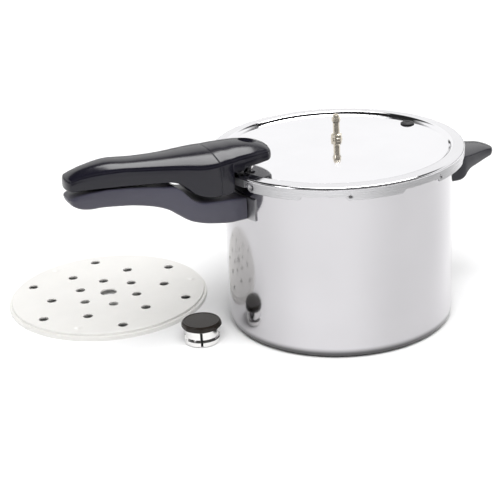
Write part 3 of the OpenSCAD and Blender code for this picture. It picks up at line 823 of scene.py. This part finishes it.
def make_helper_handle():
    """Helper handle: a short tapered tab with a hanging block at the pot wall."""
    sizes = bpy.context.scene.canner_handles
    obj = moulded_bar(
        "helper_handle_moulding", 1, HELPER_TOP, HELPER_BOTTOM, HELPER_HALF, (108.3, 0, 173.7, 7),
        2.0, sizes.edge / MM, 2.4, belly=0.4)
    cut(obj, [hole_cutter(SCREW_X, 0, [(0, 115, 0, 1), (4.9, 115, 0, 1), (4.9, 134.5, 0, 1),
                                       (0, 134.5, 0, 1)])])
    settle(obj, "pot", MATERIALS["phenolic"], ["helper_handle"])


# ---------------------------------------------------------------- fittings and loose pieces

def sided(angles, sides, first=0.0):
    """Radius of a regular polygon of unit half width: 1 / cos(angle from its nearest flat)."""
    pitch = 2 * math.pi / sides
    off = (angles - first + pitch / 2) % pitch - pitch / 2
    return 1 / np.cos(off)


def make_vent_pipe():
    """Vent pipe: flange, hexagon and stem on one section; the hexagon's radius follows its flats."""
    centre = (0.5 * (VENT_LOW[0] + VENT_HIGH[0]), 0.5 * (VENT_LOW[1] + VENT_HIGH[1]))
    panel_z = VENT_HIGH[2] - 24.6
    top_z, low_z = VENT_HIGH[2], VENT_LOW[2]
    path = rounded_path([
        (0, low_z, 0, 1), (3.9, low_z, 0.4, 1), (3.9, panel_z - 0.2, 0, 1), (5.6, panel_z, 0.2, 1),
        (5.6, panel_z + 1.4, 0.5, 1), (4.8, panel_z + 1.9, 0.2, 1), (4.8, panel_z + 4.8, 0.5, 1),
        (3.3, panel_z + 5.6, 0.4, 6), (3.2, top_z - 8.2, 0.6, 1), (4.2, top_z - 6.2, 0.5, 1),
        (4.2, top_z - 3.4, 0.5, 1), (3.5, top_z - 2.6, 0.3, 1), (3.5, top_z - 0.9, 0.4, 1),
        (2.6, top_z, 0.4, 1), (1.2, top_z, 0.2, 2), (1.2, top_z - 7, 0, 1), (0, top_z - 7, 0, 1)], 4)
    angles = circle_angles(120)
    on_hex = ease((path[:, 1] - panel_z - 1.7) / 0.3) * ease((panel_z + 5.2 - path[:, 1]) / 0.5)
    on_hex = on_hex * (path[:, 0] > 4.3)
    radius = path[:, 0] * (1 + on_hex * (sided(angles, 6, 0.35)[:, None] - 1))
    grid = turned(radius, path[:, 1], angles, centre)
    obj = piece("vent_pipe_turning", [(grid, quads(*grid.shape[:2], wrap_rows=True))], 35)
    settle(obj, "lid", MATERIALS["brass"], ["vent_pipe"])


def make_plug():
    """Overpressure plug: low domed head with a raised nub and a soft lip on the panel."""
    centre = (0.5 * (PLUG_LOW[0] + PLUG_HIGH[0]), 0.5 * (PLUG_LOW[1] + PLUG_HIGH[1]))
    top_z = PLUG_HIGH[2]
    panel_z = top_z - 2.4
    obj = turned_piece("plug_moulding", [
        (0, panel_z - 6.3, 0, 1), (3.2, panel_z - 6.3, 0.6, 1), (5.6, panel_z - 4.2, 0.8, 1),
        (5.6, panel_z - 2.7, 0.4, 1), (4.7, panel_z - 2.5, 0.2, 1), (4.7, panel_z + 0.05, 0, 1),
        (6.8, panel_z + 0.05, 0.3, 1), (6.8, panel_z + 1.0, 0.8, 1), (4.6, top_z - 0.2, 1.0, 1),
        (2.6, top_z - 0.1, 0.4, 1), (2.2, top_z - 0.6, 0.3, 1), (1.4, top_z - 0.6, 0.3, 1),
        (1.0, top_z, 0.3, 1), (0, top_z, 0, 1)], 96, centre, 5)
    settle(obj, "lid", MATERIALS["rubber"], ["overpressure_plug"])


def make_regulator():
    """Regulator: an eight-sided cap whose corners soften towards a round top, on a turned weight."""
    centre = (0.5 * (WEIGHT_LOW[0] + WEIGHT_HIGH[0]), 0.5 * (WEIGHT_LOW[1] + WEIGHT_HIGH[1]))
    base, top = CAP_LOW[2], CAP_HIGH[2]
    half = 0.5 * (CAP_HIGH[0] - CAP_LOW[0])
    half = half / 1.03
    path = rounded_path([
        (0, base, 0, 2), (half - 1.4, base, 0.6, 1), (half, base + 1.0, 0.7, 4),
        (half, top - 1.5, 0.7, 1), (half - 0.9, top - 0.35, 0.5, 1), (half - 1.5, top, 0.5, 1),
        (half - 2.4, top - 0.5, 0.4, 4), (0, top - 0.3, 0, 1)], 5)
    angles = circle_angles(192)
    faceted = 0.5 * ease((top - 0.7 - path[:, 1]) / 2.4) * ease((path[:, 0] - half + 3.5) / 2.0)
    shape = np.minimum(sided(angles, 8, math.radians(43.5)), 1.06)[:, None] - 1.0
    grid = turned(path[:, 0] * (1 + faceted * shape), path[:, 1], angles, centre)
    obj = piece("regulator_cap_moulding", [(grid, quads(*grid.shape[:2], wrap_rows=True))], 30)
    settle(obj, "regulator", MATERIALS["cap"], ["regulator_cap"])

    foot, high = 0.5 * (WEIGHT_HIGH[0] - WEIGHT_LOW[0]), WEIGHT_HIGH[2]
    weight = turned_piece("regulator_weight_turning", [
        (0, 13, 0, 1), (4.7, 13, 0.3, 2), (4.7, 0, 0.5, 1), (foot - 2.2, 0, 0.8, 1),
        (foot - 0.7, 1.4, 0.9, 1), (foot, 5.6, 0.7, 1), (foot - 0.5, 7.0, 0.5, 1),
        (foot - 1.6, 7.8, 0.5, 1), (foot - 2.2, high - 1.0, 0.5, 1),
        (foot - 2.6, high, 0.2, 2), (0, high, 0, 1)], 160, centre, 5, 35)
    heading = math.radians(246.0)
    along = np.array([math.cos(heading), math.sin(heading)])
    across = np.array([-along[1], along[0]])
    corners = np.array([[12.5, -1.1], [22, -1.1], [22, 1.1], [12.5, 1.1]])
    flat = np.array(centre) + corners[:, :1] * along + corners[:, 1:] * across
    ring = np.concatenate([np.vstack([flat, flat]), np.repeat([[-1.0], [14.0]], 4, 0)], 1)
    cells = np.array([[0, 1, 2, 3], [7, 6, 5, 4], [0, 4, 5, 1], [1, 5, 6, 2], [2, 6, 7, 3], [3, 7, 4, 0]])
    slot = piece("cutter", [(ring, cells)])
    cut(weight, [slot], 35)
    settle(weight, "regulator", MATERIALS["chrome"], ["regulator_weight"])
    # Painted shade: the faces inside the slot get the black rubber finish so the slot reads as a dark
    # recess; there is no rubber insert.
    weight.data.materials.append(MATERIALS["rubber"])
    centres = np.empty(len(weight.data.polygons) * 3)
    weight.data.polygons.foreach_get("center", centres)
    off = centres.reshape(-1, 3)[:, :2] / MM - centre
    slot_shade = (np.abs(off @ across) < 1.15) & (off @ along > 10) & (off @ along < 17.4)
    weight.data.polygons.foreach_set("material_index", slot_shade.astype(np.int32))


RACK_HOLES = ((0.304, 20.0), (0.578, 50.0), (0.824, 20.0))
RACK_FEET = (0.863, 110.0)
RACK_CENTRE_HOLE = 8.5


def ring_places(centre, radius, first, count):
    """Places round a ring, in mm."""
    a = np.radians(first) + circle_angles(count)
    return np.stack([centre[0] + radius * np.cos(a), centre[1] + radius * np.sin(a)], -1)


def make_rack():
    """Rack: a thin turned plate with a stepped rim, pressed feet and punched holes.

    Each foot is a hollow of the form depth times exp(-(distance/size)^2), on both faces.
    """
    sizes = bpy.context.scene.canner_loose
    centre = 0.5 * (RACK_LOW + RACK_HIGH)[:2]
    rim, top, sheet = 0.5 * (RACK_HIGH[0] - RACK_LOW[0]), RACK_HIGH[2], sizes.sheet / MM
    middle = top / 2 + sheet / 2
    path = rounded_path([
        (0, top - sheet, 0, 60), (rim - 2.6 - sheet, top - sheet, 0.6, 2),
        (rim - 2.6 - sheet, middle - sheet, 0.4, 1), (rim - sheet, middle - sheet, 0.6, 2),
        (rim - sheet, 0, 0.3, 1), (rim, 0, 0.5, 2), (rim, middle, 0.8, 1), (rim - 2.6, middle, 0.5, 2),
        (rim - 2.6, top, 0.9, 60), (0, top, 0, 1)], 4)
    grid = turned(path[:, 0], path[:, 1], circle_angles(320), centre)
    flat = (path[:, 0] < rim - 4)[None, :]
    for spot in ring_places(centre, RACK_FEET[0] * rim, RACK_FEET[1], 3):
        away = np.hypot(grid[..., 0] - spot[0], grid[..., 1] - spot[1])
        grid[..., 2] -= 1.5 * np.exp(-(away / 2.6) ** 2) * flat
    spots = [(ring_places(centre, share_out * rim, first, 6), sizes.hole / MM / 2)
             for share_out, first in RACK_HOLES]
    spots.append((centre[None], RACK_CENTRE_HOLE))
    for places, hole_r in spots:
        for spot in places:
            away = np.hypot(grid[..., 0] - spot[0], grid[..., 1] - spot[1])
            grid[..., 2] -= 0.25 * np.exp(-((away - hole_r) / 0.9) ** 2) * flat
    obj = piece("rack_pressing", [(grid, quads(*grid.shape[:2], wrap_rows=True))], 35)
    drills = []
    for places, hole_r in spots:
        for spot in places:
            drills.append(hole_cutter(*spot, [(0, -2, 0, 1), (hole_r, -2, 0, 1),
                                              (hole_r, top + 3, 0, 1), (0, top + 3, 0, 1)]))
    cut(obj, drills, 35)
    settle(obj, "rack", MATERIALS["rack"], ["cooking_rack"])


FRAME_FINISH = {
    "pot_handle_bracket": "steel", "helper_bracket": "steel", "lid_handle_bracket": "steel",
    "lower_handle_screw": "steel", "helper_handle_screw": "steel", "upper_handle_screw": "steel",
    "lock_bracket": "steel", "lock_bracket_rivets": "chrome", "vent_pipe_nut": "steel",
    "sealing_ring": "rubber", "cover_lock_gasket": "rubber", "cover_lock_pin": "chrome",
    "cover_lock_cap": "chrome",
}


def finish_frame_nodes():
    """Gives the frame's own nodes their finishes."""
    for node, finish in FRAME_FINISH.items():
        mesh = frame["nodes"][node].data
        mesh.materials.clear()
        mesh.materials.append(MATERIALS[finish])


# ---------------------------------------------------------------- stage

def make_camera():
    """Camera at its place, turned by heading, tilt and roll."""
    stage = bpy.context.scene.canner_stage
    a, e, roll = stage.heading, stage.tilt, stage.roll
    right = Vector((math.cos(a), -math.sin(a), 0))
    ahead = Vector((math.cos(e) * math.sin(a), math.cos(e) * math.cos(a), -math.sin(e)))
    up = right.cross(ahead)
    side = right * math.cos(roll) + up * math.sin(roll)
    top = up * math.cos(roll) - right * math.sin(roll)
    data = bpy.data.cameras.new("camera")
    data.lens = stage.lens
    data.sensor_width = 36.0
    data.clip_end = 50.0
    camera = bpy.data.objects.new("camera", data)
    bpy.context.scene.collection.objects.link(camera)
    place = Vector((-0.5947, -1.1213, 0.5891))
    camera.matrix_world = Matrix.Translation(place) @ Matrix((side, top, -ahead)).transposed().to_4x4()
    bpy.context.scene.camera = camera


def make_floor():
    """A wide pale floor."""
    stage = bpy.context.scene.canner_stage
    reach = np.linspace(-6000, 6000, 9)
    x, y = np.meshgrid(reach, reach, indexing="ij")
    grid = np.stack([x, y, 0 * x - 0.02], -1)
    floor = piece("floor", [(grid, quads(9, 9))])
    floor.data.flip_normals() if floor.data.polygons[0].normal.z < 0 else None
    material = bpy.data.materials.new("pale floor")
    material.use_nodes = True
    shader = material.node_tree.nodes["Principled BSDF"]
    shader.inputs["Base Color"].default_value = (*stage.floor, 1.0)
    shader.inputs["Roughness"].default_value = 0.9
    floor.data.materials.append(material)


def grey_ramp(tree, height, stops):
    """A colour ramp over a value, from (place, grey) stops."""
    ramp = tree.nodes.new("ShaderNodeValToRGB")
    marks = ramp.color_ramp.elements
    while len(marks) > 1:
        marks.remove(marks[0])
    marks[0].position, marks[0].color = stops[0][0], (stops[0][1],) * 3 + (1,)
    for place, grey in stops[1:]:
        marks.new(place).color = (grey, grey, grey, 1)
    tree.links.new(height, ramp.inputs["Fac"])
    return ramp.outputs["Color"]


def make_world():
    """Surrounding light by direction: a white wall behind the canner, a dimmer room in front.

    Both are dark along the floor and overhead, as with soft boxes in a dark studio, so bright
    metal shows edges and black moulding stays black. What the camera sees itself is plain white.
    """
    world = bpy.data.worlds.new("studio")
    bpy.context.scene.world = world
    world.use_nodes = True
    tree = world.node_tree
    back = tree.nodes["Background"]
    back.inputs["Strength"].default_value = bpy.context.scene.canner_stage.sky
    spot = tree.nodes.new("ShaderNodeTexCoord").outputs["Generated"]
    split = tree.nodes.new("ShaderNodeSeparateXYZ")
    tree.links.new(spot, split.inputs[0])
    height = split.outputs[2]
    wall = grey_ramp(tree, height, ((0.09, 0.08), (0.13, 1.0), (0.57, 1.0), (0.67, 0.02)))
    room = grey_ramp(tree, height, ((0.0, 0.05), (0.40, 0.08), (0.50, 0.45), (0.62, 0.36), (0.74, 0.03)))
    heading = bpy.context.scene.canner_stage.heading
    side = tree.nodes.new("ShaderNodeVectorMath")
    side.operation = "DOT_PRODUCT"
    side.inputs[1].default_value = (math.sin(heading), math.cos(heading), 0)
    tree.links.new(spot, side.inputs[0])
    share_of_wall = tree.nodes.new("ShaderNodeMapRange")
    share_of_wall.interpolation_type = "SMOOTHSTEP"
    share_of_wall.inputs["From Min"].default_value = -0.35
    share_of_wall.inputs["From Max"].default_value = 0.10
    tree.links.new(side.outputs["Value"], share_of_wall.inputs["Value"])
    both = tree.nodes.new("ShaderNodeMix")
    both.data_type = "RGBA"
    tree.links.new(share_of_wall.outputs["Result"], both.inputs["Factor"])
    tree.links.new(room, both.inputs["A"])
    tree.links.new(wall, both.inputs["B"])
    seen = tree.nodes.new("ShaderNodeMix")
    seen.data_type = "RGBA"
    seen.inputs["B"].default_value = (1, 1, 1, 1)
    tree.links.new(tree.nodes.new("ShaderNodeLightPath").outputs["Is Camera Ray"],
                   seen.inputs["Factor"])
    tree.links.new(both.outputs["Result"], seen.inputs["A"])
    tree.links.new(seen.outputs["Result"], back.inputs["Color"])


def soft_light(name, place, aim, size, power, shiny=True):
    """A square soft light that looks at a point."""
    data = bpy.data.lights.new(name, "AREA")
    data.shape = "RECTANGLE"
    data.size, data.size_y = size
    data.energy = power
    light = bpy.data.objects.new(name, data)
    bpy.context.scene.collection.objects.link(light)
    light.location = place
    light.rotation_euler = (Vector(aim) - Vector(place)).to_track_quat("-Z", "Y").to_euler()
    light.visible_glossy = shiny
    return light


def make_lights():
    """Two soft boxes that only show in the gloss, and an even light from above for the rest."""
    key = soft_light("key", (0.70, 0.58, 2.10), (0.70, 0.581, 0.0), (1.4, 1.25), 40.0)
    edge = soft_light("edge", (-2.05, -0.45, 1.45), (0, 0, 0.12), (0.6, 0.8), 7.0)
    key.visible_diffuse = edge.visible_diffuse = False
    data = bpy.data.lights.new("even", "SUN")
    data.energy = 3.75
    data.angle = math.radians(50.0)
    even = bpy.data.objects.new("even", data)
    bpy.context.scene.collection.objects.link(even)
    even.rotation_euler = Vector((0.13, 0.42, -0.9)).to_track_quat("-Z", "Y").to_euler()
    even.visible_glossy = False


# ---------------------------------------------------------------- operators and panel

class CannerOperator:
    """What the canner's operators share."""

    bl_options = {"REGISTER", "UNDO"}
    makers = ()

    def execute(self, context):
        """Makes this operator's pieces in order."""
        for maker in self.makers:
            maker()
        return {"FINISHED"}


class CANNER_OT_materials(CannerOperator, bpy.types.Operator):
    """Build every finish and give the frame's nodes theirs"""

    bl_idname = "canner.materials"
    bl_label = "Finishes"
    makers = (build_materials, finish_frame_nodes)


class CANNER_OT_pot(CannerOperator, bpy.types.Operator):
    """Build the polished pot"""

    bl_idname = "canner.pot"
    bl_label = "Pot"
    makers = (make_pot,)


class CANNER_OT_lid(CannerOperator, bpy.types.Operator):
    """Build the lid with its lugs and dimples"""

    bl_idname = "canner.lid"
    bl_label = "Lid"
    makers = (make_lid,)


class CANNER_OT_handles(CannerOperator, bpy.types.Operator):
    """Build the upper, lower and helper handles"""

    bl_idname = "canner.handles"
    bl_label = "Handles"
    makers = (make_upper_handle, make_lower_handle, make_helper_handle)


class CANNER_OT_fittings(CannerOperator, bpy.types.Operator):
    """Build the vent pipe and the overpressure plug"""

    bl_idname = "canner.fittings"
    bl_label = "Lid fittings"
    makers = (make_vent_pipe, make_plug)


class CANNER_OT_regulator(CannerOperator, bpy.types.Operator):
    """Build the pressure regulator"""

    bl_idname = "canner.regulator"
    bl_label = "Regulator"
    makers = (make_regulator,)


class CANNER_OT_rack(CannerOperator, bpy.types.Operator):
    """Build the perforated rack"""

    bl_idname = "canner.rack"
    bl_label = "Rack"
    makers = (make_rack,)


class CANNER_OT_stage(CannerOperator, bpy.types.Operator):
    """Set up camera, floor and light"""

    bl_idname = "canner.stage"
    bl_label = "Stage"
    makers = (make_camera, make_floor, make_world, make_lights)


OPERATORS = (CANNER_OT_materials, CANNER_OT_pot, CANNER_OT_lid, CANNER_OT_handles,
             CANNER_OT_fittings, CANNER_OT_regulator, CANNER_OT_rack, CANNER_OT_stage)


class CANNER_PT_panel(bpy.types.Panel):
    """The canner's operators and settings in the sidebar"""

    bl_idname = "CANNER_PT_panel"
    bl_label = "Pressure Canner"
    bl_space_type = "VIEW_3D"
    bl_region_type = "UI"
    bl_category = "Canner"

    def draw(self, context):
        """One row for each operator, then each group's settings."""
        for operator in OPERATORS:
            self.layout.operator(operator.bl_idname)
        for name, group in SETTINGS.items():
            box = self.layout.box()
            for label in group.__annotations__:
                box.prop(getattr(context.scene, name), label)


def register():
    """Adds the classes and the scene's settings."""
    for group in SETTINGS.values():
        bpy.utils.register_class(group)
    for name, group in SETTINGS.items():
        setattr(bpy.types.Scene, name, bpy.props.PointerProperty(type=group))
    for cls in OPERATORS + (CANNER_PT_panel,):
        bpy.utils.register_class(cls)


def unregister():
    """Takes them away again."""
    for cls in (CANNER_PT_panel,) + OPERATORS[::-1]:
        bpy.utils.unregister_class(cls)
    for name in SETTINGS:
        delattr(bpy.types.Scene, name)
    for group in SETTINGS.values():
        bpy.utils.unregister_class(group)


def main():
    """Builds the whole canner."""
    register()
    for name in ("camera", "light", "cube"):
        for obj in [o for o in bpy.data.objects if o.name.lower() == name]:
            bpy.data.objects.remove(obj)
    bpy.context.scene.view_settings.view_transform = "Standard"
    bpy.ops.canner.materials()
    bpy.ops.canner.pot()
    bpy.ops.canner.lid()
    bpy.ops.canner.handles()
    bpy.ops.canner.fittings()
    bpy.ops.canner.regulator()
    bpy.ops.canner.rack()
    bpy.ops.canner.stage()


if __name__ == "__main__":
    main()
